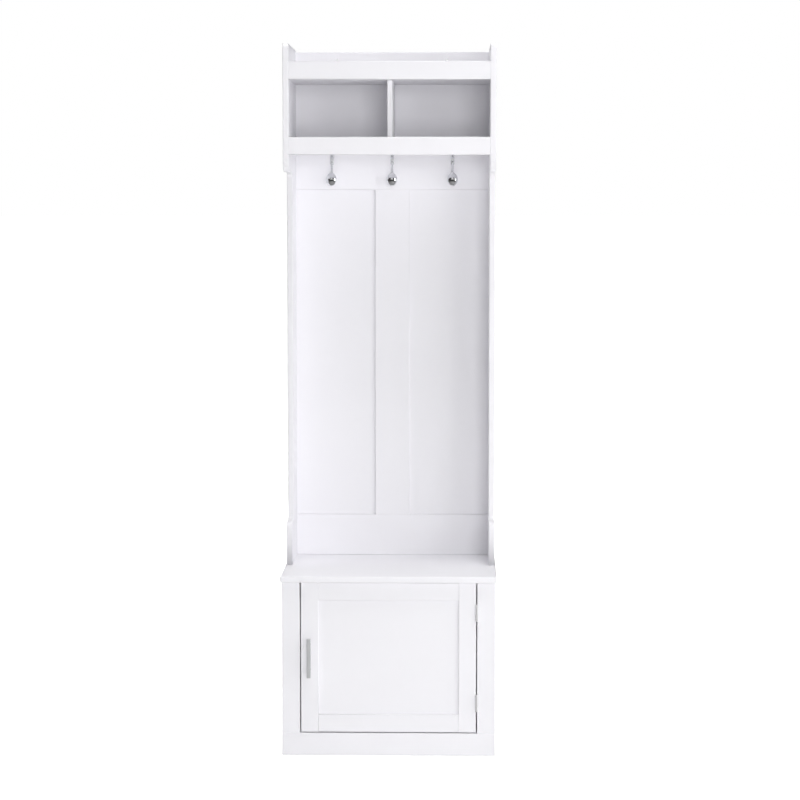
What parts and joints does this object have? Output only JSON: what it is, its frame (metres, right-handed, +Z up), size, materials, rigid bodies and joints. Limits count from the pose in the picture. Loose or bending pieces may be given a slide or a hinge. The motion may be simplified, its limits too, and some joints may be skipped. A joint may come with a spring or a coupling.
{
  "type": "hall tree with hooks",
  "caption": "Tall narrow hall tree: hinged-door bench cabinet below a framed back with coat hooks, open cubbies and a lipped top shelf.",
  "frame": {"origin": "on the floor, under the middle of the overall box, whose front is the handle's bar and whose back is the wall plane", "axes": "+Z up, the open front and the door face -Y, +X to the right of someone facing the front"},
  "size_m": [0.546, 0.416, 1.8],
  "materials": {
    "white_paint": "smooth satin white lacquer on engineered board",
    "polished_chrome": "polished plate",
    "satin_nickel": "satin, fine vertical brushing",
    "hinge_nickel": "bright nickel plate",
    "zinc_steel": "zinc plate",
    "white_plastic": "moulded, matt",
    "black_ferrite": "matt ferrite",
    "beech": "fluted beech, unfinished"
  },
  "bodies": {
    "carcass": {"back_low_rail": "white_paint", "back_muntin": "white_paint", "back_panel_left": "white_paint", "back_panel_right": "white_paint", "base_back": "white_paint", "base_bottom": "white_paint", "base_dowels": "beech", "base_side_left": "white_paint", "base_side_right": "white_paint", "bench_top": "white_paint", "cam_bolts": "zinc_steel", "cam_locks": "zinc_steel", "catch_housing": "white_plastic", "catch_magnet": "black_ferrite", "catch_screws": "zinc_steel", "cubby_back_panel": "white_paint", "cubby_divider": "white_paint", "cubby_floor": "white_paint", "cubby_lip": "white_paint", "face_stile_left": "white_paint", "face_stile_right": "white_paint", "foot_glides": "white_plastic", "hinge_leaf_frame_lower": "hinge_nickel", "hinge_leaf_frame_upper": "hinge_nickel", "hinge_pin_lower": "hinge_nickel", "hinge_pin_upper": "hinge_nickel", "hinge_screws_frame": "hinge_nickel", "hook_center": "polished_chrome", "hook_knob_center": "polished_chrome", "hook_knob_left": "polished_chrome", "hook_knob_right": "polished_chrome", "hook_left": "polished_chrome", "hook_rail": "white_paint", "hook_right": "polished_chrome", "hook_screws": "polished_chrome", "inner_shelf": "white_paint", "plinth_front": "white_paint", "plinth_rear": "white_paint", "shelf_pins": "zinc_steel", "top_back_rail": "white_paint", "top_lip": "white_paint", "top_shelf": "white_paint", "top_stretcher_front": "white_paint", "top_stretcher_rear": "white_paint", "tower_screws": "zinc_steel", "upper_dowels": "beech", "upper_side_left": "white_paint", "upper_side_right": "white_paint"},
    "door": {"door_handle": "satin_nickel", "door_panel": "white_paint", "door_rail_bottom": "white_paint", "door_rail_top": "white_paint", "door_stile_left": "white_paint", "door_stile_right": "white_paint", "handle_screws": "zinc_steel", "hinge_leaf_door_lower": "hinge_nickel", "hinge_leaf_door_upper": "hinge_nickel", "hinge_screws_door": "hinge_nickel", "strike_plate": "zinc_steel", "strike_screws": "zinc_steel"}
  },
  "joints": [
    {"name": "door_hinge", "type": "hinge", "parent": "carcass", "child": "door", "pos_m": [0.22275, -0.1831, 0.252], "axis": [0, 0, 1], "range_deg": [0, 170]}
  ]
}
